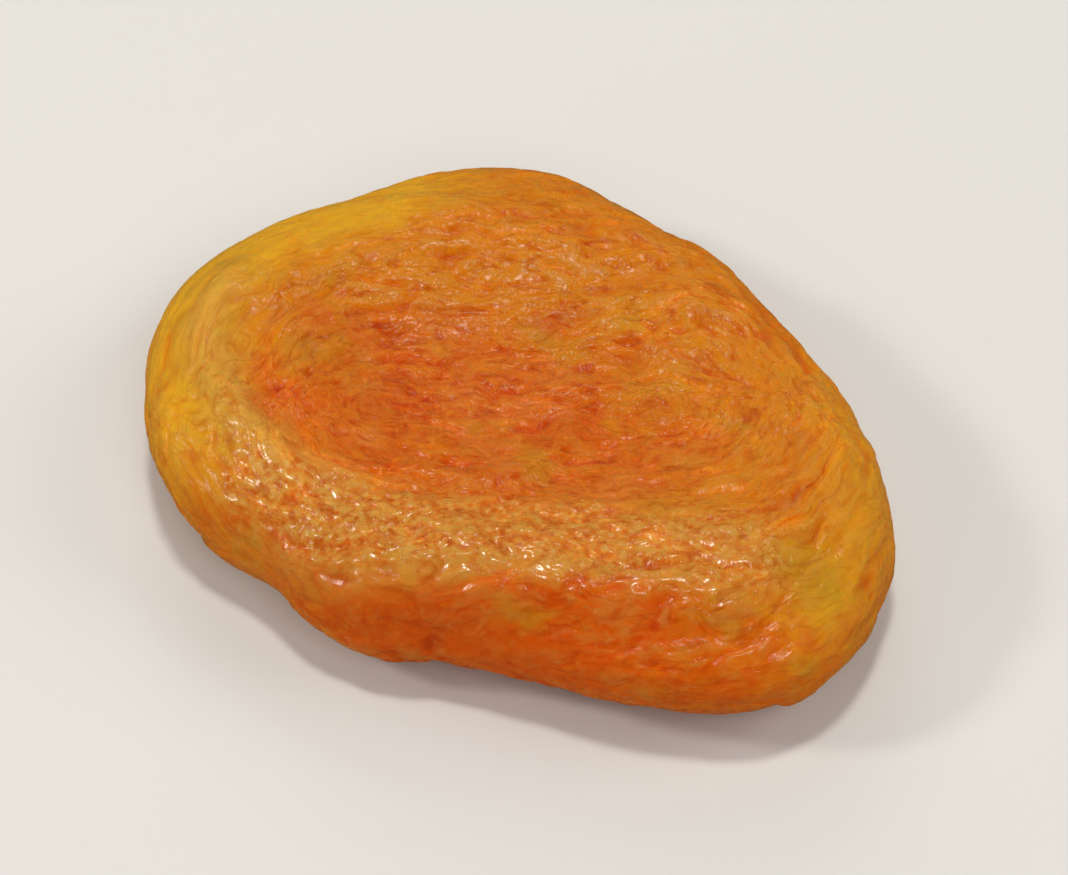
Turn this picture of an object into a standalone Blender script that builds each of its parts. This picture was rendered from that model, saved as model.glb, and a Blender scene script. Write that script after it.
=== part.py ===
# Dried apricot, pitted and pressed flat, lying on its underside.
# One closed skin over one solid. Lengths are metres, angles degrees.
# X runs along the fruit, Z stands up from the surface it lies on.
import math

import bmesh
import bpy
import numpy as np

MM = 0.001

# Named sizes of the whole fruit.
LENGTH = 41.0 * MM
WIDTH = 30.5 * MM
THICKNESS = 8.8 * MM

# Facets along one edge of the cube that is blown up into the skin.
FACETS = 30

# The outline seen from above is an oval with slow waves and small pinches.
OVAL_TRIM = -0.0085
LEAN = 0.042
LEAN_TOWARDS = -186.0
THREE_CORNERS = 0.0642
THREE_CORNERS_AT = -9.9
FIVE_CORNERS = 0.022
FIVE_CORNERS_AT = -20.7
SEVEN_CORNERS = 0.0104
SEVEN_CORNERS_AT = 26.4
NOSE_PINCH_AT = -162.5
NOSE_PINCH = 0.30 * MM
FRONT_PINCH_AT = -74.0
FRONT_PINCH = 0.65 * MM
CORNER_PINCH_AT = -116.5
CORNER_PINCH = 1.10 * MM
PINCH_SPREAD = 8.0

# The rounded slab: heights above and below its widest level, and how square its edges are.
RISE_ABOVE = 4.5 * MM
RISE_BELOW = 4.3 * MM
SQUARE_ABOVE = 8.0
SQUARE_BELOW = 5.6
WIDEST_SHARE = 0.54

# The rim stands higher at the front and lower at the nose.
RIM_SWING = 0.16
RIM_HIGH_AT = -48.0

# The sunken middle of the upper side.
DISH_DEPTH = 1.9 * MM
DISH_X = -0.4 * MM
DISH_Y = 1.2 * MM
DISH_LONG = 15.4 * MM
DISH_SHORT = 10.8 * MM
DISH_TURN = 15.0
DISH_FLOOR = 0.25
DISH_WANDER = 0.10
DISH_WANDER_PITCH = 6.0 * MM

# The shallower hollow of the underside, and the three low lobes it lies on.
HOLLOW_DEPTH = 1.5 * MM
HOLLOW_LONG = 14.0 * MM
HOLLOW_SHORT = 9.0 * MM
LOBE_HEIGHT = 0.30 * MM
LOBE_AT = 25.0
PRESSED_FLAT = 0.16 * MM
FLAT_EASE = 0.30 * MM

# Wrinkles run along a short middle line and bend round its ends with the rim. The upper ones give
# way to the lower ones over a narrow belt at the widest level.
FLOW_TURN = 34.0
FLOW_HALF = 7.0 * MM
FLOW_SOFT = 1.2 * MM
WRINKLE_LONG = 8.0 * MM
WRINKLE_PITCH = 2.6 * MM
WRINKLE_HEIGHT = 0.32 * MM
DENT_PITCH = 7.5 * MM
DENT_HEIGHT = 0.34 * MM
UNDER_PITCH = 3.4 * MM
UNDER_HEIGHT = 0.34 * MM
TURN_OVER = 1.8 * MM
SEED = 31

# Single folds of the upper side: half width, height (below zero for a groove), and points along
# each in millimetres.
NOSE_FOLD = (0.80 * MM, 0.95 * MM,
             ((-17.0, 0.6), (-16.8, -2.6), (-15.9, -5.4), (-13.4, -7.7), (-10.6, -9.6),
              (-7.0, -10.4), (-3.0, -9.4)))
FRONT_FOLD = (1.15 * MM, 0.35 * MM,
              ((-3.5, -12.2), (1.5, -11.4), (5.8, -9.8), (10.4, -7.9), (15.4, -4.9),
               (18.0, -2.0)))
MIDDLE_CREASE = (0.65 * MM, 0.62 * MM,
                 ((-3.4, -7.4), (0.2, -6.2), (2.4, -3.9), (2.4, -0.6), (1.4, 1.6)))
SIDE_CREASE = (0.65 * MM, 0.55 * MM, ((-1.0, -0.6), (1.6, 3.0), (4.2, 4.1), (8.2, 3.6)))
NOSE_STEP = (0.90 * MM, -0.25 * MM,
             ((-15.0, -2.2), (-14.3, -4.6), (-12.3, -6.4), (-9.9, -7.9), (-6.9, -8.5), (-3.6, -7.6)))
NOSE_GROOVE = (0.90 * MM, -0.28 * MM,
               ((-14.4, -5.6), (-12.6, -3.4), (-10.6, -1.9), (-8.2, 1.6), (-4.6, 4.0)))

# The shoulder slopes down outside the front crest: half width, depth at the top, and points.
SHOULDER = (1.90 * MM, 1.40 * MM,
            ((6.2, -12.4), (9.4, -11.6), (12.6, -10.7), (16.2, -8.7), (18.9, -6.1), (19.9, -2.8),
             (19.6, 0.7)))

SKIN_COLOUR = (0.62, 0.19, 0.022, 1.0)
SKIN_ROUGHNESS = 0.42


def clear_scene():
    for thing in list(bpy.data.objects):
        bpy.data.objects.remove(thing, do_unlink=True)


def bell(value, spread):
    return np.exp(-0.5 * (value / spread) ** 2)


def ease(low, high, value):
    t = np.clip((value - low) / (high - low), 0.0, 1.0)
    return t * t * (3.0 - 2.0 * t)


# Smooth gradient noise, about -1 to 1, with one feature per unit length.
def noise(x, y, z, seed):
    rng = np.random.default_rng(seed)
    shuffle = rng.permutation(256)
    slopes = rng.normal(size=(256, 3))
    slopes /= np.linalg.norm(slopes, axis=1)[:, None]
    point = np.stack([x, y, z], axis=1)
    cell = np.floor(point).astype(int)
    part = point - cell
    blend = part ** 3 * (part * (part * 6.0 - 15.0) + 10.0)
    total = np.zeros(len(point))
    for corner in ((0, 0, 0), (1, 0, 0), (0, 1, 0), (1, 1, 0),
                   (0, 0, 1), (1, 0, 1), (0, 1, 1), (1, 1, 1)):
        spot = (cell + corner) & 255
        pick = shuffle[(shuffle[(shuffle[spot[:, 0]] + spot[:, 1]) & 255] + spot[:, 2]) & 255]
        share = np.where(corner, blend, 1.0 - blend).prod(axis=1)
        total += share * (slopes[pick] * (part - corner)).sum(axis=1)
    return total * 1.7


# A cube cut into even squares, to be blown up into the skin.
def squared_cube():
    bm = bmesh.new()
    bmesh.ops.create_cube(bm, size=2.0)
    bmesh.ops.subdivide_edges(bm, edges=bm.edges[:], cuts=FACETS - 1, use_grid_fill=True)
    mesh = bpy.data.meshes.new("apricot")
    bm.to_mesh(mesh)
    bm.free()
    return mesh


# Outline radius at an angle round the fruit: oval times waves, less three pinches.
def outline(angle):
    half_x, half_y = LENGTH / 2.0, WIDTH / 2.0
    oval = half_x * half_y / np.hypot(half_y * np.cos(angle), half_x * np.sin(angle))
    waves = 1.0 + OVAL_TRIM
    for size, count, at in ((LEAN, 1, LEAN_TOWARDS), (THREE_CORNERS, 3, THREE_CORNERS_AT),
                            (FIVE_CORNERS, 5, FIVE_CORNERS_AT), (SEVEN_CORNERS, 7, SEVEN_CORNERS_AT)):
        waves = waves + size * np.cos(count * (angle - math.radians(at)))
    radius = oval * waves
    for at, depth in ((NOSE_PINCH_AT, NOSE_PINCH), (FRONT_PINCH_AT, FRONT_PINCH),
                      (CORNER_PINCH_AT, CORNER_PINCH)):
        away = np.degrees(np.angle(np.exp(1j * (angle - math.radians(at)))))
        radius = radius - depth * bell(away, PINCH_SPREAD)
    return radius


# Quarter of a squared oval, walked evenly from the middle (0) to the widest level (1).
def section(walk, height, square):
    t = np.linspace(0.0, math.pi / 2.0, 900)
    reach = np.sin(t) ** (2.0 / square)
    rise = np.cos(t)
    radius = (LENGTH + WIDTH) / 4.0
    steps = np.hypot(np.diff(reach) * radius, np.diff(rise) * height)
    length = np.concatenate([[0.0], np.cumsum(steps)])
    share = length / length[-1]
    return np.interp(walk, share, reach), np.interp(walk, share, rise), length[-1]


# A ridge over a curve drawn smoothly through a few points: a bell across it that tapers as a half
# circle towards both ends.
def ridge(x, y, points, wide):
    spots = np.array(points) * MM
    knots = np.arange(len(spots))
    fine = np.linspace(0.0, len(spots) - 1.0, 16 * len(spots))
    line = np.stack([np.interp(fine, knots, spots[:, 0]), np.interp(fine, knots, spots[:, 1])], axis=1)
    for smoothing in range(8):
        line[1:-1] = (line[:-2] + 2.0 * line[1:-1] + line[2:]) / 4.0
    gap = np.hypot(x[:, None] - line[:, 0], y[:, None] - line[:, 1])
    share = gap.argmin(axis=1) / (len(line) - 1.0)
    return bell(gap.min(axis=1), wide) * np.sqrt(4.0 * share * (1.0 - share))


# Long wrinkles: noise stretched along a middle line and bent round its ends.
def flow_noise(x, y, pitch, seed):
    turn = math.radians(FLOW_TURN)
    along = x * math.cos(turn) + y * math.sin(turn)
    across = -x * math.sin(turn) + y * math.cos(turn)
    past = np.maximum(np.abs(along) - FLOW_HALF, 0.0)
    ring = np.sqrt(past ** 2 + across ** 2 + FLOW_SOFT ** 2)
    side = np.tanh(across / (2.0 * FLOW_SOFT)) * 2.0 * FLOW_SOFT
    return noise(along / WRINKLE_LONG, ring / pitch, side / pitch, seed)


def normals_of(points, quads):
    first, second = points[quads[:, 2]] - points[quads[:, 0]], points[quads[:, 3]] - points[quads[:, 1]]
    facing = np.cross(first, second)
    total = np.zeros_like(points)
    for corner in range(4):
        np.add.at(total, quads[:, corner], facing)
    return total / np.linalg.norm(total, axis=1)[:, None]


def skin(directions, quads):
    angle = np.arctan2(directions[:, 1], directions[:, 0])
    down = np.arccos(np.clip(directions[:, 2], -1.0, 1.0)) / math.pi
    above = down <= WIDEST_SHARE
    walk = np.where(above, down / WIDEST_SHARE, (1.0 - down) / (1.0 - WIDEST_SHARE))
    reach_a, rise_a, path_a = section(walk, RISE_ABOVE, SQUARE_ABOVE)
    reach_b, rise_b, path_b = section(walk, RISE_BELOW, SQUARE_BELOW)
    radius = outline(angle)
    reach = np.where(above, reach_a, reach_b)
    swing = 1.0 + RIM_SWING * np.cos(angle - math.radians(RIM_HIGH_AT)) * reach ** 2
    height = np.where(above, rise_a * RISE_ABOVE * swing, -rise_b * RISE_BELOW)
    x = reach * radius * np.cos(angle)
    y = reach * radius * np.sin(angle)
    points = np.stack([x, y, height], axis=1)
    normal = normals_of(points, quads)

    # The same places measured over the skin, from the middle of either side.
    grow = radius / ((LENGTH + WIDTH) / 4.0)
    far_a = np.where(above, walk * path_a, path_a + (1.0 - walk) * path_b) * grow
    far_b = np.where(above, path_b + (1.0 - walk) * path_a, walk * path_b) * grow
    xa, ya = far_a * np.cos(angle), far_a * np.sin(angle)
    xb, yb = far_b * np.cos(angle), far_b * np.sin(angle)
    upper = ease(-TURN_OVER, TURN_OVER, path_a * grow - far_a)

    # The upper side sinks inside a turned oval whose edge wanders a little, and at the shoulder by a
    # share that ends at the widest level.
    turn = math.radians(DISH_TURN)
    dx, dy = x - DISH_X, y - DISH_Y
    oval = np.hypot((dx * math.cos(turn) + dy * math.sin(turn)) / DISH_LONG,
                    (-dx * math.sin(turn) + dy * math.cos(turn)) / DISH_SHORT)
    level = np.full(len(x), 0.5)
    oval = oval + DISH_WANDER * noise(x / DISH_WANDER_PITCH, y / DISH_WANDER_PITCH, level, SEED + 1)
    dish = 1.0 - ease(DISH_FLOOR, 1.0, oval)
    hollow = 1.0 - ease(0.2, 1.0, np.hypot(x / HOLLOW_LONG, y / HOLLOW_SHORT))
    wide, deep, points_along = SHOULDER
    shoulder = deep * rise_a * ridge(x, y, points_along, wide)
    sink = np.where(above, -DISH_DEPTH * dish - shoulder, HOLLOW_DEPTH * hollow)

    # Folds, dents and wrinkles stand out from the skin.
    folds = np.zeros(len(x))
    for wide, high, points_along in (NOSE_FOLD, FRONT_FOLD, MIDDLE_CREASE, SIDE_CREASE, NOSE_STEP,
                                     NOSE_GROOVE):
        folds = folds + high * ridge(x, y, points_along, wide)
    wrinkles = WRINKLE_HEIGHT * flow_noise(xa, ya, WRINKLE_PITCH, SEED + 2)
    dents = DENT_HEIGHT * noise(x / DENT_PITCH, y / DENT_PITCH, height / DENT_PITCH, SEED + 3)
    dents = dents * (1.0 - ease(0.7, 0.98, reach))
    under = UNDER_HEIGHT * noise(xb / UNDER_PITCH, yb / UNDER_PITCH, level, SEED + 4)
    lobes = LOBE_HEIGHT * np.cos(3.0 * (angle - math.radians(LOBE_AT))) * ease(0.3, 0.7, reach)
    relief = dents + upper * (folds + wrinkles) + (1.0 - upper) * (under + lobes)
    points = points + normal * relief[:, None]
    points[:, 2] += sink

    # Brought to the named length, width and thickness, then pressed flat where it lies.
    low, high = points.min(axis=0), points.max(axis=0)
    middle = (low + high) / 2.0
    points[:, :2] = (points[:, :2] - middle[:2]) * np.array([LENGTH, WIDTH]) / (high - low)[:2]
    clear = (points[:, 2] - low[2]) * (THICKNESS + PRESSED_FLAT) / (high - low)[2] - PRESSED_FLAT
    lift = np.clip(clear, 0.0, FLAT_EASE) ** 2 / (2.0 * FLAT_EASE) + np.maximum(clear - FLAT_EASE, 0.0)
    points[:, 2] = lift * THICKNESS / lift.max()
    return points


def skin_material():
    material = bpy.data.materials.new("apricot_skin")
    material.use_nodes = True
    shader = material.node_tree.nodes["Principled BSDF"]
    shader.inputs["Base Color"].default_value = SKIN_COLOUR
    shader.inputs["Roughness"].default_value = SKIN_ROUGHNESS
    shader.inputs["Metallic"].default_value = 0.0
    material.diffuse_color = SKIN_COLOUR
    return material


def build_apricot():
    mesh = squared_cube()
    corners = np.empty(len(mesh.vertices) * 3)
    mesh.vertices.foreach_get("co", corners)
    quads = np.empty(len(mesh.polygons) * 4, dtype=np.int32)
    mesh.loops.foreach_get("vertex_index", quads)
    spread = np.tan(corners.reshape(-1, 3) * math.pi / 4.0)
    directions = spread / np.linalg.norm(spread, axis=1)[:, None]
    points = skin(directions, quads.reshape(-1, 4))
    mesh.vertices.foreach_set("co", points.ravel())
    mesh.shade_smooth()
    mesh.materials.append(skin_material())
    mesh.update()
    fruit = bpy.data.objects.new("apricot", mesh)
    bpy.context.scene.collection.objects.link(fruit)


clear_scene()
build_apricot()
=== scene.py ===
import math

import bpy
import numpy as np
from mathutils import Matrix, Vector


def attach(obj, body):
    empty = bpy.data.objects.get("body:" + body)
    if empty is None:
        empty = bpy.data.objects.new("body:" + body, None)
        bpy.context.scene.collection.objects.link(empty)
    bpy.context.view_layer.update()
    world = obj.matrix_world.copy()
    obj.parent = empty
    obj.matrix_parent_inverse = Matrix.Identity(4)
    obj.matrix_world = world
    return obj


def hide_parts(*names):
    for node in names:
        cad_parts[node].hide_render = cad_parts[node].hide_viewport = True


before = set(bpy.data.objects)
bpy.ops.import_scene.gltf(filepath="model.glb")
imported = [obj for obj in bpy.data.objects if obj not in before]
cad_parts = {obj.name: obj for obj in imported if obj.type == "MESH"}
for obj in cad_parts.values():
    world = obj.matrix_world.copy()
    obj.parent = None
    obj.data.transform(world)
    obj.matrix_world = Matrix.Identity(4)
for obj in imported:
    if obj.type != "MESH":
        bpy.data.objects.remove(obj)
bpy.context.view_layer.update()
mm = 0.001


# exp(-half the square of value over spread)
def bell(value, spread):
    return np.exp(-0.5 * (value / spread) ** 2)


# 0 below low, 1 above high, a smooth cubic between
def ease(low, high, value):
    t = np.clip((value - low) / (high - low), 0.0, 1.0)
    return t * t * (3.0 - 2.0 * t)


# gradient noise: random slopes at whole numbers, blended by a quintic
def gradientNoise(x, y, z, seed):
    rng = np.random.default_rng(seed)
    shuffle = rng.permutation(256)
    slopes = rng.normal(size=(256, 3))
    slopes /= np.linalg.norm(slopes, axis=1)[:, None]
    point = np.stack([x, y, z], axis=1)
    cell = np.floor(point).astype(int)
    part = point - cell
    blend = part ** 3 * (part * (part * 6.0 - 15.0) + 10.0)
    total = np.zeros(len(point))
    corners = np.array(np.meshgrid([0, 1], [0, 1], [0, 1], indexing="ij")).reshape(3, -1).T[:, ::-1]
    for corner in corners:
        spot = (cell + corner) & 255
        pick = shuffle[(shuffle[(shuffle[spot[:, 0]] + spot[:, 1]) & 255] + spot[:, 2]) & 255]
        share = np.where(corner, blend, 1.0 - blend).prod(axis=1)
        total += share * (slopes[pick] * (part - corner)).sum(axis=1)
    fullSwing = 1.7  # brings it to about -1 to 1
    return total * fullSwing


# gradient noise of one pitch over a plane
def planNoise(x, y, pitch, seed):
    return gradientNoise(x / pitch, y / pitch, np.full(len(x), 0.5), seed)


# angle between two directions round the fruit, in degrees either way
def angleOff(angle, at):
    return np.degrees(np.angle(np.exp(1j * (angle - math.radians(at)))))


# distance from a turned oval's centre, 1 on the oval itself; centre and half sizes in metres
def ovalReach(x, y, centre, size, turnBy):
    turn = math.radians(turnBy)
    dx, dy = x - centre[0], y - centre[1]
    return np.hypot((dx * math.cos(turn) + dy * math.sin(turn)) / size[0],
                    (-dx * math.sin(turn) + dy * math.cos(turn)) / size[1])


# a patch of the rim: full within some degrees of a direction, and from some share of the way out
def rimPatch(angle, reach, at, half, soft, low, high):
    return (1.0 - ease(half, half + soft, np.abs(angleOff(angle, at)))) * ease(low, high, reach)


# distance from a softened curve through a few points in millimetres, and the share passed along it
def offCurve(x, y, points):
    perPoint, rounds = 16, 8  # short pieces for each point, rounds of softening
    spots = np.array(points) * mm
    knots = np.arange(len(spots))
    fine = np.linspace(0.0, len(spots) - 1.0, perPoint * len(spots))
    line = np.stack([np.interp(fine, knots, spots[:, 0]), np.interp(fine, knots, spots[:, 1])], axis=1)
    for softening in range(rounds):
        line[1:-1] = (line[:-2] + 2.0 * line[1:-1] + line[2:]) / 4.0
    gap = np.hypot(x[:, None] - line[:, 0], y[:, None] - line[:, 1])
    return gap.min(axis=1), gap.argmin(axis=1) / (len(line) - 1.0)


# a ridge over a curve: a bell across it, tapering as a half circle towards both ends
def ridge(x, y, points, wide):
    gap, share = offCurve(x, y, points)
    return bell(gap, wide) * np.sqrt(4.0 * share * (1.0 - share))


# unit directions on a cube's six square grids, spread by a tangent, and the squares between them
def cubeNet(count):
    i, j = np.meshgrid(np.arange(count + 1), np.arange(count + 1), indexing="ij")
    i, j = i.ravel(), j.ravel()
    low, high = np.zeros_like(i), np.full_like(i, count)
    sides = ((j, i, low), (i, j, high), (i, low, j), (j, high, i), (low, j, i), (high, i, j))
    points = np.concatenate([np.stack(side, axis=1) for side in sides])
    shared, index = np.unique(points, axis=0, return_inverse=True)
    index = index.reshape(6, count + 1, count + 1)
    quads = np.stack([index[:, :-1, :-1], index[:, 1:, :-1], index[:, 1:, 1:], index[:, :-1, 1:]], axis=-1)
    spread = np.tan((shared * 2.0 / count - 1.0) * math.pi / 4.0)
    return spread / np.linalg.norm(spread, axis=1)[:, None], quads.reshape(-1, 4)


# vertex normals: the squares' diagonals crossed, summed at each corner
def surfaceNormals(points, quads):
    first, second = points[quads[:, 2]] - points[quads[:, 0]], points[quads[:, 3]] - points[quads[:, 1]]
    facing = np.cross(first, second)
    total = np.stack([sum(np.bincount(quads[:, c], facing[:, axis], len(points)) for c in range(4))
                      for axis in range(3)], axis=1)
    return total / np.linalg.norm(total, axis=1)[:, None]


# a mesh object at the origin from whole arrays, smooth shaded, with one attribute per mask
def meshPiece(name, points, quads, masks):
    mesh = bpy.data.meshes.new(name)
    mesh.vertices.add(len(points))
    mesh.vertices.foreach_set("co", points.ravel())
    mesh.loops.add(quads.size)
    mesh.loops.foreach_set("vertex_index", quads.ravel().astype(np.int32))
    mesh.polygons.add(len(quads))
    mesh.polygons.foreach_set("loop_start", np.arange(0, quads.size, 4, dtype=np.int32))
    mesh.update(calc_edges=True)
    mesh.shade_smooth()
    for label, values in masks.items():
        kind, field = ("FLOAT", "value") if values.ndim == 1 else ("FLOAT_VECTOR", "vector")
        layer = mesh.attributes.new(label, kind, "POINT")
        layer.data.foreach_set(field, values.astype(np.float32).ravel())
    mesh.validate()
    piece = bpy.data.objects.new(name, mesh)
    bpy.context.scene.collection.objects.link(piece)
    return piece


# form of the fruit in metres and degrees, as the solid has it
fruitForm = {
    "length": 41.0 * mm, "width": 30.5 * mm, "thickness": 8.8 * mm,
    "divisions": 127,  # squares along one edge of the blown-up cube
    "ovalTrim": -0.0085,
    # waves of the outline: share of the radius, number round the fruit, direction of one
    "waves": ((0.042, 1, -186.0), (0.0642, 3, -9.9), (0.022, 5, -20.7), (0.0104, 7, 26.4)),
    "pinches": ((-162.5, 0.30 * mm), (-74.0, 0.65 * mm), (-116.5, 1.10 * mm)),  # direction, depth
    "pinchSpread": 8.0,
    "riseAbove": 4.5 * mm, "riseBelow": 4.3 * mm, "squareAbove": 8.0, "squareBelow": 5.6,
    "sectionSteps": 900,  # steps that measure the way along a section
    "widestShare": 0.60,  # share of the net that the upper side takes
    "rimSwing": 0.16, "rimHighAt": -48.0,
    "dishDepth": 1.9 * mm, "dishAt": (-0.4 * mm, 1.2 * mm), "dishSize": (15.4 * mm, 10.8 * mm),
    "dishTurn": 15.0, "dishFloor": 0.25,
    "dishWander": (6.0 * mm, 0.10),  # pitch and size of the edge's wander
    "hollowDepth": 1.5 * mm, "hollowSize": (14.0 * mm, 9.0 * mm), "hollowFloor": 0.20,
    "lobeHeight": 0.30 * mm, "lobeAt": 25.0, "lobeCount": 3.0, "lobeRise": (0.30, 0.70),
    "pressedFlat": 0.16 * mm, "flatEase": 0.30 * mm,
    "seed": 31,
}

# folds and wrinkles: the coarse ones are the solid's own, the fine ones are added here
skinRelief = {
    "flowTurn": 34.0, "flowHalf": 7.0 * mm, "flowSoft": 1.2 * mm,
    "turnOver": 1.8 * mm,  # half width over which the upper wrinkles give way to the lower ones
    "coarse": (8.0 * mm, 2.6 * mm, 0.32 * mm),  # length, pitch, height
    "dents": (7.5 * mm, 0.34 * mm), "under": (3.4 * mm, 0.34 * mm),  # pitch, height
    "dentsEnd": (0.70, 0.98),  # shares of the way out over which the dents fade
    # half width, height and points in millimetres of single folds; a groove has a height below zero
    "folds": (
        (0.80 * mm, 0.95 * mm, ((-17.0, 0.6), (-16.8, -2.6), (-15.9, -5.4), (-13.4, -7.7),
                                (-10.6, -9.6), (-7.0, -10.4), (-3.0, -9.4))),
        (1.15 * mm, 0.35 * mm, ((-3.5, -12.2), (1.5, -11.4), (5.8, -9.8), (10.4, -7.9),
                                (15.4, -4.9), (18.0, -2.0))),
        (0.65 * mm, 0.62 * mm, ((-3.4, -7.4), (0.2, -6.2), (2.4, -3.9), (2.4, -0.6), (1.4, 1.6))),
        (0.65 * mm, 0.55 * mm, ((-1.0, -0.6), (1.6, 3.0), (4.2, 4.1), (8.2, 3.6))),
        (0.90 * mm, -0.25 * mm, ((-15.0, -2.2), (-14.3, -4.6), (-12.3, -6.4), (-9.9, -7.9),
                                 (-6.9, -8.5), (-3.6, -7.6))),
        (0.90 * mm, -0.28 * mm, ((-14.4, -5.6), (-12.6, -3.4), (-10.6, -1.9), (-8.2, 1.6), (-4.6, 4.0))),
    ),
    # the shoulder outside the front crest: half width, depth at the top, points in millimetres
    "shoulder": (1.90 * mm, 1.40 * mm, ((6.2, -12.4), (9.4, -11.6), (12.6, -10.7), (16.2, -8.7),
                                        (18.9, -6.1), (19.9, -2.8), (19.6, 0.7))),
    # fine wrinkles: length, pitch, height
    "pleats": (4.6 * mm, 1.2 * mm, 0.12 * mm),
    "creases": (5.0 * mm, 1.9 * mm, 0.20 * mm), "creaseSpread": 0.09,  # long narrow grooves
    "crinkle": (1.5 * mm, 0.72 * mm, 0.17 * mm),
    "fine": (0.75 * mm, 0.40 * mm, 0.12 * mm),
    "ridgedShare": 0.6, "plainShare": 0.5, "plainPitch": 1.5,  # the two noises in a crinkle
    "meander": (1.7 * mm, 0.40 * mm),  # pitch and reach of the sideways wander
    "crinkleAbove": (0.65, 0.35), "crinkleUnder": 0.8,  # rim and added middle share; underside
    "patches": (4.5 * mm, 0.85, 0.45),  # pitch, mean and swing of the fine relief's strength
    "calmNose": 0.6, "calmWall": 0.45, "roughBand": 0.35,  # shares taken off, or added on the pale band
    # grains: length, pitch, height, then what is taken off, the plain noise's share and size
    "beads": (0.90 * mm, 0.55 * mm, 0.11 * mm), "beadRest": 0.35, "beadPlain": (0.5, 0.7),
    "beadShares": (0.3, 1.2, 0.8),  # everywhere, more on the pale band, more on the crest line
    "peaks": (0.16 * mm, 0.06 * mm),  # greatest height of a fine crest, and how far all stands out
}

# where the colours lie, seen from above
colourPlaces = {
    # ovals: centre and half sizes in millimetres, turn, then reaches where it is full and gone
    "redMiddle": ((-1.7, -1.6), (12.2, 7.6), 20.0, 0.60, 1.20),
    "redCore": ((-3.2, -1.2), (6.6, 3.0), 22.0, 0.45, 1.25),
    "oliveSpot": ((17.6, -1.6), (2.6, 2.0), 0.0, 0.30, 1.30),
    "paleEnd": ((-13.2, -4.2), (2.8, 3.2), 0.0, 0.30, 1.20),  # the red middle fades beside the nose
    "paleEndShare": 0.65, "ovalWander": (3.0 * mm, 0.10),
    # the red middle's edge is sharper towards the nose: by this much, between these distances
    "sharpEdge": (0.26, 2.0 * mm, 11.0 * mm), "underMiddle": (0.50, 1.25),
    # direction, half width and softness in degrees, then the shares of the way out where it sets in
    "yellowNose": (-177.0, 34.0, 26.0, 0.66, 0.82),
    "yellowRight": (12.0, 18.0, 22.0, 0.74, 0.94), "yellowRightShare": 0.60,
    # painted shade: steeper faces keep less of the yellow, so they show darker amber
    "yellowFade": (0.35, -0.35, 0.75),  # least share, and the upward facings between which it grows
    "smoothNose": (168.0, 26.0, 0.60, 0.90),  # direction, spread, shares of the way out
    "smoothRim": (0.50, 0.80, 0.95),  # share, shares of the way out
    # painted shade: steep faces, mostly on the near side, are coloured a deeper orange-red that stands in for
    # their shade and the orange bounce light on them
    "wall": (0.20, 0.85), "side": (0.40, 0.93), "sideShare": 0.8,  # upward facings of a steep wall
    "wallAt": -68.0, "wallRest": 0.15, "wallPower": 8,  # where the wall is reddest, and how fast it ends
    "roughMiddle": (0.55, 1.05),
    "ragged": (1.6 * mm, 0.12, 0.03, 0.35 * mm),  # pitch, then how far it shifts band, patch and line
    # the pale band, painted as the highlight along the near crest: points in millimetres, half width, where
    # it is full and gone, fading to its end
    "paleBand": ((-8.0, -12.3), (-4.4, -12.3), (-0.8, -10.9), (2.4, -9.1), (6.4, -6.8), (11.0, -4.6),
                 (14.5, -3.0)),
    "paleBandHalf": 2.7 * mm, "paleBandEdge": (0.50, 1.15), "paleBandFade": 0.35, "paleBandWall": 0.7,
    # the crest line: a paler line painted as the highlight along the near crest
    "crestLine": ((-8.0, -14.4), (-4.4, -14.6), (-1.2, -13.8), (1.5, -12.5), (5.1, -10.0), (10.2, -7.3),
                  (13.5, -6.1), (17.4, -4.6)),
    "crestHalf": 0.60 * mm, "noseFoldHalf": 1.0 * mm,
    # past the crest line's ends it runs out to these radii within this angle; then the edge's softness
    "crestEnds": (21.0 * mm, 24.0 * mm), "crestEndAngle": 0.35, "beyond": (-0.5 * mm, 0.9 * mm),
    # the fine relief's hollows are painted darker as shade and its crests paler as highlight
    "crestDepth": 0.42 * mm,  # height of fine relief from darkest hollow to lightest crest
}


# outline radius at an angle: oval times a sum of cosines, less a bell at each pinch
def outlineRadius(angle, form):
    halfX, halfY = form["length"] / 2.0, form["width"] / 2.0
    oval = halfX * halfY / np.hypot(halfY * np.cos(angle), halfX * np.sin(angle))
    waves = 1.0 + form["ovalTrim"]
    for size, count, at in form["waves"]:
        waves = waves + size * np.cos(count * (angle - math.radians(at)))
    radius = oval * waves
    for at, depth in form["pinches"]:
        radius = radius - depth * bell(angleOff(angle, at), form["pinchSpread"])
    return radius


# quarter of a squared oval, reach^square + rise^2 = 1, walked evenly from middle (0) to rim (1)
def squaredSection(walk, height, square, form):
    t = np.linspace(0.0, math.pi / 2.0, form["sectionSteps"])
    reach = np.sin(t) ** (2.0 / square)
    rise = np.cos(t)
    radius = (form["length"] + form["width"]) / 4.0
    steps = np.hypot(np.diff(reach) * radius, np.diff(rise) * height)
    length = np.concatenate([[0.0], np.cumsum(steps)])
    share = length / length[-1]
    return np.interp(walk, share, reach), np.interp(walk, share, rise), length[-1]


# places in the wrinkles' own directions: along a turned middle line, out from it, and side of it
def flowPlaces(x, y, relief):
    turn = math.radians(relief["flowTurn"])
    along = x * math.cos(turn) + y * math.sin(turn)
    across = -x * math.sin(turn) + y * math.cos(turn)
    past = np.maximum(np.abs(along) - relief["flowHalf"], 0.0)
    ring = np.sqrt(past ** 2 + across ** 2 + relief["flowSoft"] ** 2)
    side = np.tanh(across / (2.0 * relief["flowSoft"])) * 2.0 * relief["flowSoft"]
    return along, ring, side


# noise stretched along the flow, so wrinkles follow the middle line and bend with the rim
def flowNoise(places, long, pitch, seed):
    along, ring, side = places
    return gradientNoise(along / long, ring / pitch, side / pitch, seed)


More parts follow.
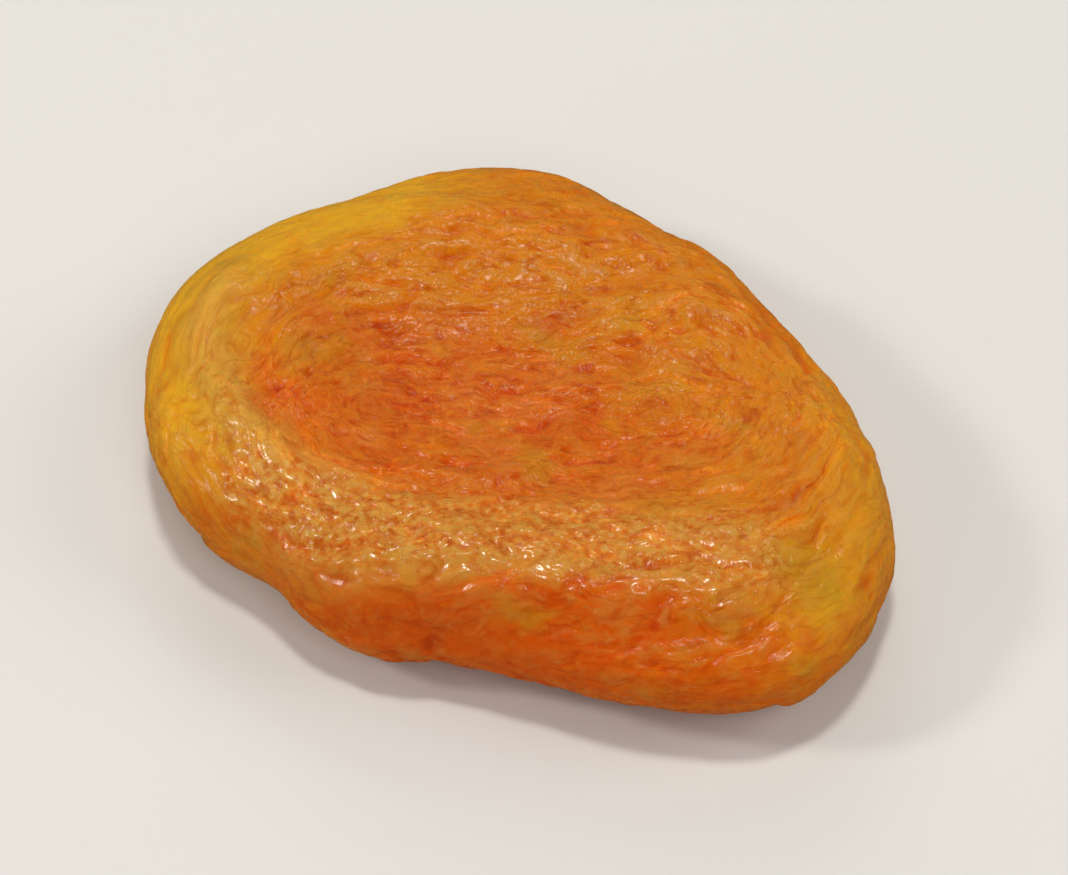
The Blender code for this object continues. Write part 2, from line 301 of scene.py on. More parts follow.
# crests where the flow noise passes zero: 1 less a multiple of its size, softened at the crest
def crestNoise(places, long, pitch, seed):
    steepness, softness = 2.4, 0.015
    return 1.0 - steepness * np.sqrt(flowNoise(places, long, pitch, seed) ** 2 + softness)


# crinkles on one side of the skin: places pushed sideways by slower noise, then ridged and plain noise
# stretched along the flow, at three sizes, less a bell where the crease noise passes zero
def crinkles(px, py, relief, seed):
    pitch, reachOut = relief["meander"]
    wanderX = px + reachOut * planNoise(px, py, pitch, seed)
    wanderY = py + reachOut * planNoise(px, py, pitch, seed + 1)
    places = flowPlaces(wanderX, wanderY, relief)
    ridged, plain = relief["ridgedShare"], relief["plainShare"]
    long, step, high = relief["pleats"]
    pleats = high * crestNoise(places, long, step, seed + 6)
    long, step, high = relief["creases"]
    pleats = pleats - high * bell(flowNoise(places, long, step, seed + 7), relief["creaseSpread"])
    long, step, high = relief["crinkle"]
    crinkle = high * (ridged * crestNoise(places, long, step, seed + 2)
                      + plain * flowNoise(places, long, step * relief["plainPitch"], seed + 3))
    long, step, high = relief["fine"]
    fine = high * (ridged * crestNoise(places, long, step, seed + 4)
                   + plain * flowNoise(places, long, step, seed + 5))
    return pleats, crinkle, fine, np.stack(places, axis=1)


# the plain form, squared sections swept round the outline, with each point's places in it: seen from
# above, and measured over the skin from the middle of the upper and of the lower side
def plainForm(directions, quads, form, relief):
    angle = np.arctan2(directions[:, 1], directions[:, 0])
    down = np.arccos(np.clip(directions[:, 2], -1.0, 1.0)) / math.pi
    above = down <= form["widestShare"]
    walk = np.where(above, down / form["widestShare"], (1.0 - down) / (1.0 - form["widestShare"]))
    reachA, riseA, pathA = squaredSection(walk, form["riseAbove"], form["squareAbove"], form)
    reachB, riseB, pathB = squaredSection(walk, form["riseBelow"], form["squareBelow"], form)
    radius = outlineRadius(angle, form)
    reach = np.where(above, reachA, reachB)
    swing = 1.0 + form["rimSwing"] * np.cos(angle - math.radians(form["rimHighAt"])) * reach ** 2
    height = np.where(above, riseA * form["riseAbove"] * swing, -riseB * form["riseBelow"])
    x, y = reach * radius * np.cos(angle), reach * radius * np.sin(angle)
    points = np.stack([x, y, height], axis=1)

    grow = radius / ((form["length"] + form["width"]) / 4.0)
    farA = np.where(above, walk * pathA, pathA + (1.0 - walk) * pathB) * grow
    farB = np.where(above, pathB + (1.0 - walk) * pathA, walk * pathB) * grow
    return {
        "points": points, "normal": surfaceNormals(points, quads), "above": above, "rise": riseA,
        "x": x, "y": y, "height": height, "angle": angle, "reach": reach,
        "xa": farA * np.cos(angle), "ya": farA * np.sin(angle),
        "xb": farB * np.cos(angle), "yb": farB * np.sin(angle),
        "upper": ease(-relief["turnOver"], relief["turnOver"], pathA * grow - farA),
    }


# how far each point moves up. The upper side sinks inside a turned oval whose edge wanders, and at the
# shoulder by a share that ends at the widest level; the underside has a shallower hollow
def sinking(place, form, relief):
    x, y = place["x"], place["y"]
    pitch, wander = form["dishWander"]
    oval = ovalReach(x, y, form["dishAt"], form["dishSize"], form["dishTurn"])
    oval = oval + wander * planNoise(x, y, pitch, form["seed"] + 1)
    dish = 1.0 - ease(form["dishFloor"], 1.0, oval)
    hollowOval = ovalReach(x, y, (0.0, 0.0), form["hollowSize"], 0.0)
    hollow = 1.0 - ease(form["hollowFloor"], 1.0, hollowOval)
    wide, deep, pointsAlong = relief["shoulder"]
    shoulder = deep * place["rise"] * ridge(x, y, pointsAlong, wide)
    sink = np.where(place["above"], -form["dishDepth"] * dish - shoulder, form["hollowDepth"] * hollow)
    return sink, oval, hollowOval


# the solid's own relief: folds and coarse wrinkles above, noise and three cosine lobes below, dents on both
def bodyRelief(place, form, relief):
    x, y, reach, upper = place["x"], place["y"], place["reach"], place["upper"]
    seed = form["seed"]
    folds = sum(high * ridge(x, y, pointsAlong, wide) for wide, high, pointsAlong in relief["folds"])
    long, pitch, high = relief["coarse"]
    coarse = high * flowNoise(flowPlaces(place["xa"], place["ya"], relief), long, pitch, seed + 2)
    pitch, high = relief["dents"]
    dents = high * gradientNoise(x / pitch, y / pitch, place["height"] / pitch, seed + 3)
    dents = dents * (1.0 - ease(*relief["dentsEnd"], reach))
    pitch, high = relief["under"]
    under = high * planNoise(place["xb"], place["yb"], pitch, seed + 4)
    lobes = np.cos(form["lobeCount"] * (place["angle"] - math.radians(form["lobeAt"])))
    lobes = form["lobeHeight"] * lobes * ease(*form["lobeRise"], reach)
    return dents + upper * (folds + coarse) + (1.0 - upper) * (under + lobes)


# shares from 0 to 1 of the kinds of skin: rough middle, wall and side by how little they face up, smooth
# nose, pale band by the distance off its curve, crest line, and what lies past the crest line's radius
def skinZones(place, oval, tints, seed):
    x, y, angle, reach = place["x"], place["y"], place["angle"], place["reach"]
    facingUp = place["normal"][:, 2]
    pitch, bandShift, patchShift, lineShift = tints["ragged"]
    ragged = planNoise(x, y, pitch, seed + 15)
    wall = 1.0 - ease(*tints["wall"], facingUp)

    spots = np.array(tints["crestLine"]) * mm
    spotAngle = np.arctan2(spots[:, 1], spots[:, 0])
    firstAngle, lastAngle = spotAngle[0] - tints["crestEndAngle"], spotAngle[-1] + tints["crestEndAngle"]
    firstRadius, lastRadius = tints["crestEnds"]
    lineRadius = np.interp(angle, np.concatenate([[firstAngle], spotAngle, [lastAngle]]),
                           np.concatenate([[firstRadius], np.hypot(spots[:, 0], spots[:, 1]), [lastRadius]]))
    beyond = ease(*tints["beyond"], np.hypot(x, y) - lineRadius + lineShift * ragged)

    away, along = offCurve(x, y, tints["paleBand"])
    paleBand = 1.0 - ease(*tints["paleBandEdge"], away / tints["paleBandHalf"] + bandShift * ragged)
    paleBand = paleBand * (1.0 - tints["paleBandFade"] * along)
    at, spread, low, high = tints["smoothNose"]
    return {
        "middle": 1.0 - ease(*tints["roughMiddle"], oval),
        "wall": wall, "side": 1.0 - ease(*tints["side"], facingUp), "beyond": beyond,
        "smoothNose": bell(angleOff(angle, at), spread) * ease(low, high, reach),
        "paleBand": paleBand * (1.0 - beyond) * (1.0 - tints["paleBandWall"] * wall),
        "crestLine": ridge(x, y, tints["crestLine"], tints["crestHalf"]),
        "raggedReach": reach + patchShift * ragged,
    }


# fine relief: crinkles of both sides joined at the rim, times a patchy strength that is high on the pale
# band and low on the nose and the wall, plus grains: flow noise folded at zero and plain noise
def fineRelief(place, zones, form, relief):
    upper, seed = place["upper"], form["seed"]
    pleatsA, crinkleA, fineA, flowAbove = crinkles(place["xa"], place["ya"], relief, seed + 5)
    pleatsB, crinkleB, fineB, flowUnder = crinkles(place["xb"], place["yb"], relief, seed + 45)
    pitch, mean, swing = relief["patches"]
    patchy = mean + swing * gradientNoise(place["x"] / pitch, place["y"] / pitch, place["height"] / pitch,
                                          seed + 11)
    patchy = patchy * (1.0 - relief["calmNose"] * zones["smoothNose"])
    patchy = patchy * (1.0 - relief["calmWall"] * zones["wall"] * upper)
    patchy = patchy * (1.0 + relief["roughBand"] * zones["paleBand"])
    rimShare, middleShare = relief["crinkleAbove"]
    pleats = upper * pleatsA + (1.0 - upper) * pleatsB
    crinkle = upper * crinkleA * (rimShare + middleShare * zones["middle"])
    crinkle = crinkle + (1.0 - upper) * crinkleB * relief["crinkleUnder"]
    fine = upper * fineA + (1.0 - upper) * fineB

    long, pitch, high = relief["beads"]
    plainShare, plainSize = relief["beadPlain"]
    everywhere, onBand, onCrest = relief["beadShares"]
    beads = np.abs(flowNoise(tuple(flowAbove.T), long, pitch, seed + 12)) - relief["beadRest"]
    beads = beads + plainShare * planNoise(place["xa"], place["ya"], plainSize * long, seed + 13)
    beads = high * beads * (everywhere + onBand * zones["paleBand"] + onCrest * zones["crestLine"])
    return (pleats + crinkle + fine) * patchy + beads * upper * patchy, flowAbove, flowUnder


# brought to its length, width and thickness, then pressed flat where it lies: heights under the flat
# become 0, and a parabola eases into it
def toSize(points, form):
    low, high = points.min(axis=0), points.max(axis=0)
    centre, span = (low + high) / 2.0, high - low
    points[:, :2] = (points[:, :2] - centre[:2]) * np.array([form["length"], form["width"]]) / span[:2]
    flat, soft = form["pressedFlat"], form["flatEase"]
    clear = (points[:, 2] - low[2]) * (form["thickness"] + flat) / span[2] - flat
    lift = np.clip(clear, 0.0, soft) ** 2 / (2.0 * soft) + np.maximum(clear - soft, 0.0)
    points[:, 2] = lift * form["thickness"] / lift.max()
    return points


# masks for the colours, 0 to 1: zones and ovals on the upper side, and the hollow's middle below. An oval
# is full inside its first reach and gone outside its second, both moved a little by noise
def colourMasks(place, zones, hollowOval, fine, relief, tints, seed):
    x, y, angle, upper = place["x"], place["y"], place["angle"], place["upper"]

    def ovalPlace(name):
        centre, size, turnBy, full, gone = tints[name]
        pitch, wander = tints["ovalWander"]
        found = ovalReach(x, y, np.array(centre) * mm, np.array(size) * mm, turnBy)
        return found + wander * planNoise(x, y, pitch, seed + 21), full, gone

    def inOval(name):
        found, full, gone = ovalPlace(name)
        return 1.0 - ease(full, gone, found)

    # the red middle: (reach - full - sharp) / (gone - full - 1.5 sharp), sharp growing towards the nose
    sharpest, near, far = tints["sharpEdge"]
    sharp = sharpest * ease(near, far, -x)
    found, full, gone = ovalPlace("redMiddle")
    inside = 1.0 - ease(0.0, 1.0, (found - full - sharp) / (gone - full - 1.5 * sharp))
    inside = inside * (1.0 - tints["paleEndShare"] * inOval("paleEnd"))

    yellow = rimPatch(angle, zones["raggedReach"], *tints["yellowRight"]) * tints["yellowRightShare"]
    yellow = np.maximum(rimPatch(angle, zones["raggedReach"], *tints["yellowNose"]), yellow)
    # painted shade: steeper faces keep less of the yellow, so they show darker amber
    least, low, high = tints["yellowFade"]
    yellow = yellow * (least + (1.0 - least) * ease(low, high, place["normal"][:, 2]))
    # painted shade and painted orange bounce light on the wall, strongest towards the near side
    towardsShadedWall = np.cos((angle - math.radians(tints["wallAt"])) / 2.0) ** tints["wallPower"]
    towardsShadedWall = tints["wallRest"] + (1.0 - tints["wallRest"]) * towardsShadedWall
    rimShare, low, high = tints["smoothRim"]
    return {
        "upper": upper,
        # band and crest line: painted highlight along the near crest; fold crest: paler skin with a painted
        # highlight on the nose fold's top
        "band": upper * zones["paleBand"],
        "foldCrest": upper * ridge(x, y, relief["folds"][0][2], tints["noseFoldHalf"]),
        "crestLine": upper * zones["crestLine"],
        "sunken": upper * inside + (1.0 - upper) * (1.0 - ease(*tints["underMiddle"], hollowOval)),
        "core": upper * inOval("redCore"),
        "olive": upper * inOval("oliveSpot"),
        "nose": yellow,
        # wall: the share of the deeper orange-red painted shade
        "wall": np.maximum(tints["sideShare"] * zones["side"], zones["beyond"]) * towardsShadedWall,
        "smooth": np.clip(zones["smoothNose"] + rimShare * upper * ease(low, high, place["reach"]), 0.0, 1.0),
        # crest: the fine relief's height; painted shade in its hollows, painted highlight on its crests
        "crest": np.clip(0.5 + fine / tints["crestDepth"], 0.0, 1.0),
    }


# the skin: the plain form, moved along its normal by all relief and up by the sinking. Fine crests are
# rounded off below a height by a hyperbolic tangent, hollows are not, and the whole stands out a little
def apricotSkin(directions, quads, form, relief, tints):
    place = plainForm(directions, quads, form, relief)
    sink, oval, hollowOval = sinking(place, form, relief)
    zones = skinZones(place, oval, tints, form["seed"])
    fine, flowAbove, flowUnder = fineRelief(place, zones, form, relief)
    peak, stand = relief["peaks"]
    rounded = np.where(fine > 0.0, peak * np.tanh(fine / peak), fine) + stand
    points = place["points"] + place["normal"] * (bodyRelief(place, form, relief) + rounded)[:, None]
    points[:, 2] += sink
    masks = colourMasks(place, zones, hollowOval, fine, relief, tints, form["seed"])
    return toSize(points, form), {**masks, "flowAbove": flowAbove, "flowUnder": flowUnder}


print("fruit: skin")
directions, quads = cubeNet(fruitForm["divisions"])
points, masks = apricotSkin(directions, quads, fruitForm, skinRelief, colourPlaces)
apricot = meshPiece("apricotSkin", points, quads, masks)
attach(apricot, "root")
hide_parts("apricot")


# a short way to add a node with its settings
def addNode(tree, kind, **settings):
    node = tree.nodes.new(kind)
    for key, value in settings.items():
        setattr(node, key, value)
    return node


# a value put into a socket: linked if it is a socket itself, a colour with its alpha, or a number
def feed(tree, value, socket):
    if isinstance(value, bpy.types.NodeSocket):
        tree.links.new(value, socket)
    elif isinstance(value, tuple):
        socket.default_value = (*value, 1.0)
    else:
        socket.default_value = value


# colour a going over to colour b by a share, or multiplied by b
def mixColour(tree, share, a, b, blend="MIX"):
    node = addNode(tree, "ShaderNodeMix", data_type="RGBA", blend_type=blend)
    node.clamp_factor = True
    for value, socket in ((share, node.inputs[0]), (a, node.inputs[6]), (b, node.inputs[7])):
        feed(tree, value, socket)
    return node.outputs[2]


# a straight map of one range onto another, clamped
def remap(tree, value, fromLow, fromHigh, toLow, toHigh):
    node = addNode(tree, "ShaderNodeMapRange")
    tree.links.new(value, node.inputs["Value"])
    labels = ("From Min", "From Max", "To Min", "To Max")
    for label, number in zip(labels, (fromLow, fromHigh, toLow, toHigh)):
        node.inputs[label].default_value = number
    return node.outputs["Result"]


# one or two values added, multiplied or otherwise joined
def combine(tree, operation, a, b=0.0):
    node = addNode(tree, "ShaderNodeMath", operation=operation)
    feed(tree, a, node.inputs[0])
    feed(tree, b, node.inputs[1])
    return node.outputs[0]


# one of the mesh's own attributes, as a value or as a vector
def mask(tree, label, output="Fac"):
    return addNode(tree, "ShaderNodeAttribute", attribute_name=label).outputs[output]


# noise texture of a scale, detail and distortion, on places that a mapping has scaled or shifted
def mappedNoise(tree, places, setting, amounts, scale, detail, distortion):
    mapping = addNode(tree, "ShaderNodeMapping")
    mapping.inputs[setting].default_value = amounts
    tree.links.new(places, mapping.inputs["Vector"])
    node = addNode(tree, "ShaderNodeTexNoise")
    for label, number in (("Scale", scale), ("Detail", detail), ("Distortion", distortion)):
        node.inputs[label].default_value = number
    tree.links.new(mapping.outputs["Vector"], node.inputs["Vector"])
    return node.outputs["Fac"]


# flesh: amber rim, orange-red middle, yellow nose, a pale band painted as highlight, painted shade on the
# near wall and in the fine hollows, waxy gloss
fleshLook = {
    "colours": {
        "rim": (0.62, 0.190, 0.004), "yellow": (0.72, 0.38, 0.016), "middle": (0.56, 0.082, 0.002),
        # deep is painted shade and painted orange bounce light on the near wall
        "core": (0.54, 0.052, 0.001), "deep": (0.60, 0.060, 0.001), "pale": (0.56, 0.245, 0.045),
        # the pale colours here are paler skin and also painted highlight: on the band, along the crest line,
        # on the fold's top and in the band's specks
        "olive": (0.48, 0.27, 0.012), "paleSkinAndHighlight": (0.62, 0.35, 0.065), "orange": (0.68, 0.205, 0.013),
        "rose": (0.60, 0.150, 0.020),
        # these two multiply what lies under them: painted shade in the fine hollows and along thin crease
        # lines, and dark streaks and specks
        "hollowShadeAndMarkTint": (0.84, 0.52, 0.30), "creaseShadeTint": (0.82, 0.62, 0.45),
    },
    # noises on Object coordinates: size, detail, shift in metres so that no two agree, distortion
    "noises": {
        "broad": (6.0 * mm, 3.0, 0.011, 0.0), "patch": (1.6 * mm, 3.0, 0.027, 0.6),
        "speck": (0.42 * mm, 2.0, 0.043, 0.0), "rosy": (2.6 * mm, 2.0, 0.083, 0.4),
        "sallow": (3.4 * mm, 2.0, 0.097, 0.4), "grain": (0.30 * mm, 1.0, 0.061, 0.0),
    },
    "noiseSwing": (0.3, 0.7),  # the values that a noise mostly keeps to
    # noises along the wrinkles: length, pitch, detail
    "streaks": {
        "streak": (1.20 * mm, 0.62 * mm, 2.0), "fineStreak": (0.60 * mm, 0.38 * mm, 1.0),
        "creaseStreak": (3.6 * mm, 0.95 * mm, 1.0),
    },
    "streakBend": 0.6,
    # thin lines where one of those passes its middle value: which, half width
    "lines": {"vein": ("streak", 0.085), "fineVein": ("fineStreak", 0.11), "crease": ("creaseStreak", 0.035)},
    # masks whose edge wanders: which, then noises and sizes
    "edges": {
        "redEdge": ("sunken", (("patch", 0.22), ("broad", 0.15))), "shadedWallEdge": ("wall", (("patch", 0.20),)),
    },
    "plainLeast": 0.25,  # share of the markings on the smooth nose
    "veinShare": 0.14, "veinOnBand": 0.15, "veinOffWall": 0.10,
    # colours laid over the rim's: value, range of it, share at the range's end, mask, colour, blend
    "layers": (
        ("nose", 0.0, 1.0, 0.90, None, "yellow", "MIX"),
        ("redEdge", 0.10, 1.0, 0.88, None, "middle", "MIX"),
        ("core", 0.0, 1.0, 0.80, None, "core", "MIX"),
        # painted highlight: the band paler along the near crest
        ("band", 0.1, 1.0, 0.50, None, "pale", "MIX"),
        ("olive", 0.0, 1.0, 0.60, None, "olive", "MIX"),
        # the fold's top paler: paler skin and painted highlight
        ("foldCrest", 0.2, 0.9, 0.62, None, "paleSkinAndHighlight", "MIX"),
        # painted shade: the wall in deeper orange-red
        ("shadedWallEdge", 0.10, 0.90, 0.85, None, "deep", "MIX"),
        # painted highlight: a pale line along the near crest
        ("crestLine", 0.2, 1.0, 0.40, None, "paleSkinAndHighlight", "MIX"),
        # painted shade: the fine hollows darker
        ("crest", 0.50, 0.0, 0.85, None, "hollowShadeAndMarkTint", "MULTIPLY"),
        ("rosy", 0.48, 0.66, 0.70, "sunken", "rose", "MIX"),
        ("sallow", 0.56, 0.70, 0.45, "upper", "olive", "MIX"),
        # painted shade: thin dark lines drawn as shaded creases
        ("crease", 0.0, 1.0, 1.00, "plain", "creaseShadeTint", "MULTIPLY"),
        # painted highlight: the fine crests paler
        ("crest", 0.60, 1.0, 0.45, None, "light", "MIX"),
        ("streak", 0.50, 0.30, 0.90, "plain", "hollowShadeAndMarkTint", "MULTIPLY"),
        ("fineStreak", 0.52, 0.68, 0.40, "plain", "light", "MIX"),
        # pale specks on the band: pale grains and painted glints
        ("speck", 0.50, 0.62, 0.75, "band", "paleSkinAndHighlight", "MIX"),
        ("speck", 0.48, 0.36, 1.00, "band", "hollowShadeAndMarkTint", "MULTIPLY"),
        ("vein", 0.0, 1.0, 1.00, "veined", "pale", "MIX"),
        ("fineVein", 0.0, 1.0, 1.00, "veined", "pale", "MIX"),
        ("speck", 0.60, 0.78, 0.25, None, "pale", "MIX"),
    ),
    # light passing through, then roughness over the patches and a map from crests to what is added to it
    "glow": 1.0, "glowReach": 1.3 * mm, "glowRadius": (1.0, 0.30, 0.08), "ior": 1.44,
    "roughness": (0.21, 0.33), "crestGloss": (0.4, 1.0, 0.05, -0.05), "shine": 0.22,
    "sheen": 0.20, "sheenTint": (1.0, 0.60, 0.22),
    # a clear coat: shares of three masks, share everywhere, then a map from specks to what is left of it
    "coat": {"band": 0.48, "crestLine": 0.60, "foldCrest": 0.25}, "coatRest": 0.10,
    "coatSpecks": (0.42, 0.60, 0.1, 1.0), "coatRoughness": 0.16, "coatIor": 1.6,
    # bump: height, the grain's share, then maps from the masks of wall and smooth skin to its strength
    "reliefHeight": 0.13 * mm, "grainShare": 0.7,
    "grainOnWall": (0.2, 1.0, 1.0, 0.55), "grainOnNose": (0.0, 1.0, 1.0, 0.40),
}


# noise stretched along the wrinkles, upper and lower side joined at the rim
def streakNoise(tree, long, pitch, detail, bend):
    under, above = (mappedNoise(tree, mask(tree, label, "Vector"), "Scale",
                                (1.0 / long, 1.0 / pitch, 1.0 / pitch), 1.0, detail, bend)
                    for label in ("flowUnder", "flowAbove"))
    joined = addNode(tree, "ShaderNodeMix", data_type="FLOAT")
    for value, socket in ((mask(tree, "upper"), 0), (under, 2), (above, 3)):
        tree.links.new(value, joined.inputs[socket])
    return joined.outputs[0]


# all values that the colours are laid by, under their names: the mesh's masks, the noises, masks with
# their edge moved by noise, and lines that are 1 where a noise is 0.5 and 0 from half a width off
def fleshValues(tree, look):
    labels = ("upper", "sunken", "core", "nose", "wall", "crest", "band", "smooth", "foldCrest", "crestLine",
              "olive")
    values = {label: mask(tree, label) for label in labels}
    place = addNode(tree, "ShaderNodeTexCoord").outputs["Object"]
    for label, (size, detail, shift, distortion) in look["noises"].items():
        values[label] = mappedNoise(tree, place, "Location", (shift, shift * 0.37, -shift), 1.0 / size,
                                    detail, distortion)
    for label, streak in look["streaks"].items():
        values[label] = streakNoise(tree, *streak, look["streakBend"])
    for label, (streak, half) in look["lines"].items():
        off = combine(tree, "ABSOLUTE", combine(tree, "SUBTRACT", values[streak], 0.5))
        values[label] = remap(tree, off, 0.0, half, 1.0, 0.0)
    for label, (start, wanders) in look["edges"].items():
        values[label] = values[start]
        for noise, size in wanders:
            moved = remap(tree, values[noise], *look["noiseSwing"], -size, size)
            values[label] = combine(tree, "ADD", values[label], moved)

    # veins: a share everywhere, more on the band, less on the wall, few on the smooth nose
    values["plain"] = remap(tree, values["smooth"], 0.0, 1.0, 1.0, look["plainLeast"])
    onBand = combine(tree, "MULTIPLY", values["band"], look["veinOnBand"])
    onWall = combine(tree, "MULTIPLY", values["wall"], look["veinOffWall"])
    veined = combine(tree, "SUBTRACT", combine(tree, "ADD", look["veinShare"], onBand), onWall)
    values["veined"] = combine(tree, "MULTIPLY", veined, values["plain"])
    return values


# the flesh: layers of colour by masks and noises over the rim's, some of them painted shade and painted
# highlight, light passing through, a thin broken coat
def fleshMaterial(look):
    material = bpy.data.materials.new("apricotFlesh")
    material.use_nodes = True
    tree = material.node_tree
    shader = tree.nodes["Principled BSDF"]
    shader.subsurface_method = "BURLEY"
    values = fleshValues(tree, look)

    colours = dict(look["colours"])
    # a pale colour that the fine crests get as painted highlight, and the fine streaks as tone
    colours["light"] = mixColour(tree, values["sunken"], colours["pale"], colours["orange"])
    colour = colours["rim"]
    for label, low, high, share, within, tint, blend in look["layers"]:
        amount = remap(tree, values[label], low, high, 0.0, share)
        if within:
            amount = combine(tree, "MULTIPLY", amount, values[within])
        colour = mixColour(tree, amount, colour, colours[tint], blend)
    tree.links.new(colour, shader.inputs["Base Color"])

    # roughness by the patches, more in hollows and less on crests
    gloss = combine(tree, "ADD", remap(tree, values["patch"], *look["noiseSwing"], *look["roughness"]),
                    remap(tree, values["crest"], *look["crestGloss"]))
    tree.links.new(gloss, shader.inputs["Roughness"])

    # coat: the masks' shares summed, times the specks
    coat = look["coatRest"]
    for label, share in look["coat"].items():
        coat = combine(tree, "ADD", coat, combine(tree, "MULTIPLY", values[label], share))
    coat = combine(tree, "MULTIPLY", coat, remap(tree, values["speck"], *look["coatSpecks"]))
    tree.links.new(coat, shader.inputs["Coat Weight"])

    # bump: fine streaks and grain, calmer on the wall and the nose
    grain = combine(tree, "MULTIPLY", values["grain"], look["grainShare"])
    grain = combine(tree, "ADD", values["fineStreak"], grain)
    grain = combine(tree, "MULTIPLY", grain, remap(tree, values["wall"], *look["grainOnWall"]))
    grain = combine(tree, "MULTIPLY", grain, remap(tree, values["smooth"], *look["grainOnNose"]))
    bump = addNode(tree, "ShaderNodeBump")
    bump.inputs["Distance"].default_value = look["reliefHeight"]
    tree.links.new(grain, bump.inputs["Height"])
    tree.links.new(bump.outputs["Normal"], shader.inputs["Normal"])

    for label, number in (("Subsurface Weight", look["glow"]), ("Subsurface Scale", look["glowReach"]),
                          ("Coat Roughness", look["coatRoughness"]), ("Coat IOR", look["coatIor"]),
                          ("Specular IOR Level", look["shine"]), ("Sheen Weight", look["sheen"]),
                          ("Sheen Tint", look["sheenTint"]), ("IOR", look["ior"])):
        feed(tree, number, shader.inputs[label])
    shader.inputs["Subsurface Radius"].default_value = look["glowRadius"]
    return material


print("fruit: flesh")
apricot.data.materials.append(fleshMaterial(fleshLook))

# floor, lights and camera; turns are degrees from the front towards +X, raises are above the floor
studio = {
    "floorSize": 12.0, "floorColour": (0.76, 0.76, 0.75), "floorRoughness": 0.8,
    "airColour": (1.0, 0.96, 0.90), "airStrength": 0.18, "airSeen": (0.74, 0.73, 0.71),
    "cameraTurn": 33.0, "cameraRaise": 50.0, "cameraDistance": 0.40, "sensor": 36.0,
    "seenWidth": 37.6 * mm, "shareOfWidth": 0.70,  # the fruit's seen width, and its share of the picture
    "nearest": 0.01, "farthest": 20.0,
    # broad light: name, turn, raise, width in degrees, strength, colour, whether it shows in the gloss
    "broad": (
        ("overhead", 213.0, 86.0, 8.0, 1.05, (1.0, 0.96, 0.88), True),
        ("rightFill", 125.0, 36.0, 34.0, 0.68, (1.0, 0.97, 0.92), False),
        ("frontFill", 48.0, 46.0, 34.0, 0.62, (1.0, 0.98, 0.95), False),
        ("rimFill", 222.0, 28.0, 34.0, 0.55, (1.0, 0.98, 0.95), False),
        ("lowFill", -10.0, 20.0, 34.0, 0.22, (1.0, 0.98, 0.95), False),
    ),
    # near lamps: name, turn, raise, distance, size, power, colour
    "lamps": (
        ("leftLight", -52.0, 38.0, 0.9, 0.16, 2.0, (1.0, 0.96, 0.88)),
        ("backGlint", 200.0, 50.0, 0.9, 0.08, 0.16, (1.0, 0.99, 0.97)),
    ),
}


# unit vector at a turn from the front (towards +X) and a raise above the floor
def towards(turn, raiseBy):
    a, e = math.radians(turn), math.radians(raiseBy)
    return np.array([math.sin(a) * math.cos(e), -math.cos(a) * math.cos(e), math.sin(e)])


# turn that makes an object's -Z look from a place back at the fruit
def facing(place):
    return Vector(-np.array(place)).to_track_quat("-Z", "Y").to_euler()


# a level square at height 0, centred on the fruit, left out of the gloss
def buildFloor(values):
    half = values["floorSize"] / 2.0
    mesh = bpy.data.meshes.new("floor")
    mesh.from_pydata([(-half, -half, 0.0), (half, -half, 0.0), (half, half, 0.0), (-half, half, 0.0)],
                     [], [(0, 1, 2, 3)])
    material = bpy.data.materials.new("floorPaper")
    material.use_nodes = True
    shader = material.node_tree.nodes["Principled BSDF"]
    shader.inputs["Base Color"].default_value = (*values["floorColour"], 1.0)
    shader.inputs["Roughness"].default_value = values["floorRoughness"]
    mesh.materials.append(material)
    floor = bpy.data.objects.new("floor", mesh)
    bpy.context.scene.collection.objects.link(floor)
    floor.visible_glossy = False


# a lamp object looking back at the fruit from a place
def placeLamp(light, place):
    lamp = bpy.data.objects.new(light.name, light)
    lamp.location = place
    lamp.rotation_euler = facing(place)
    bpy.context.scene.collection.objects.link(lamp)
    return lamp


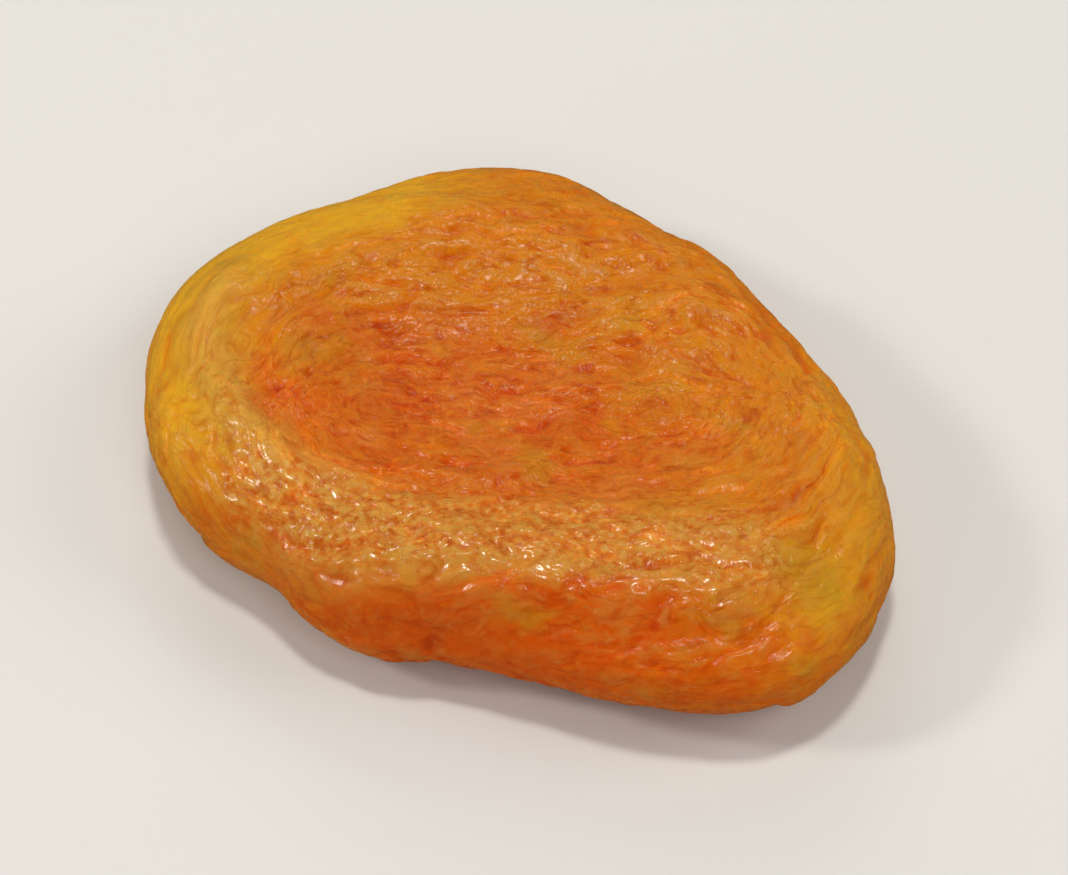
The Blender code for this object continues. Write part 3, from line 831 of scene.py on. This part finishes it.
# an even light from far away, as wide in the sky as its angle
def broadLight(name, turn, raiseBy, width, strength, colour, inGloss):
    light = bpy.data.lights.new(name, "SUN")
    light.angle = math.radians(width)
    light.energy = strength
    light.color = colour
    placeLamp(light, towards(turn, raiseBy)).visible_glossy = inGloss


# a round soft lamp close by
def nearLamp(name, turn, raiseBy, distance, size, power, colour):
    light = bpy.data.lights.new(name, "AREA")
    light.shape = "DISK"
    light.size = size
    light.energy = power
    light.color = colour
    placeLamp(light, towards(turn, raiseBy) * distance)


# even air light, left out of the gloss; the camera sees it as pale as the floor
def studioAir(values):
    world = bpy.data.worlds.new("studioAir")
    world.use_nodes = True
    tree = world.node_tree
    lit, seen = tree.nodes["Background"], addNode(tree, "ShaderNodeBackground")
    lit.inputs["Color"].default_value = (*values["airColour"], 1.0)
    lit.inputs["Strength"].default_value = values["airStrength"]
    seen.inputs["Color"].default_value = (*values["airSeen"], 1.0)
    either = addNode(tree, "ShaderNodeMixShader")
    tree.links.new(addNode(tree, "ShaderNodeLightPath").outputs["Is Camera Ray"], either.inputs[0])
    tree.links.new(lit.outputs[0], either.inputs[1])
    tree.links.new(seen.outputs[0], either.inputs[2])
    tree.links.new(either.outputs[0], tree.nodes["World Output"].inputs["Surface"])
    bpy.context.scene.world = world
    world.cycles_visibility.glossy = False


# camera on its line towards the fruit's middle; lens = sensor x distance x share of width / seen width
def placeCamera(values, form):
    camera = bpy.data.objects.new("camera", bpy.data.cameras.new("camera"))
    sensor, distance = values["sensor"], values["cameraDistance"]
    camera.data.sensor_width = sensor
    camera.data.lens = sensor * distance * values["shareOfWidth"] / values["seenWidth"]
    view = towards(values["cameraTurn"], values["cameraRaise"])
    camera.location = np.array([0.0, 0.0, 0.5 * form["thickness"]]) + view * distance
    camera.rotation_euler = facing(view)
    camera.data.clip_start = values["nearest"]
    camera.data.clip_end = values["farthest"]
    bpy.context.scene.collection.objects.link(camera)
    bpy.context.scene.camera = camera


print("studio")
buildFloor(studio)
for lightValues in studio["broad"]:
    broadLight(*lightValues)
for lampValues in studio["lamps"]:
    nearLamp(*lampValues)
studioAir(studio)
placeCamera(studio, fruitForm)
bpy.context.scene.view_settings.view_transform = "Standard"
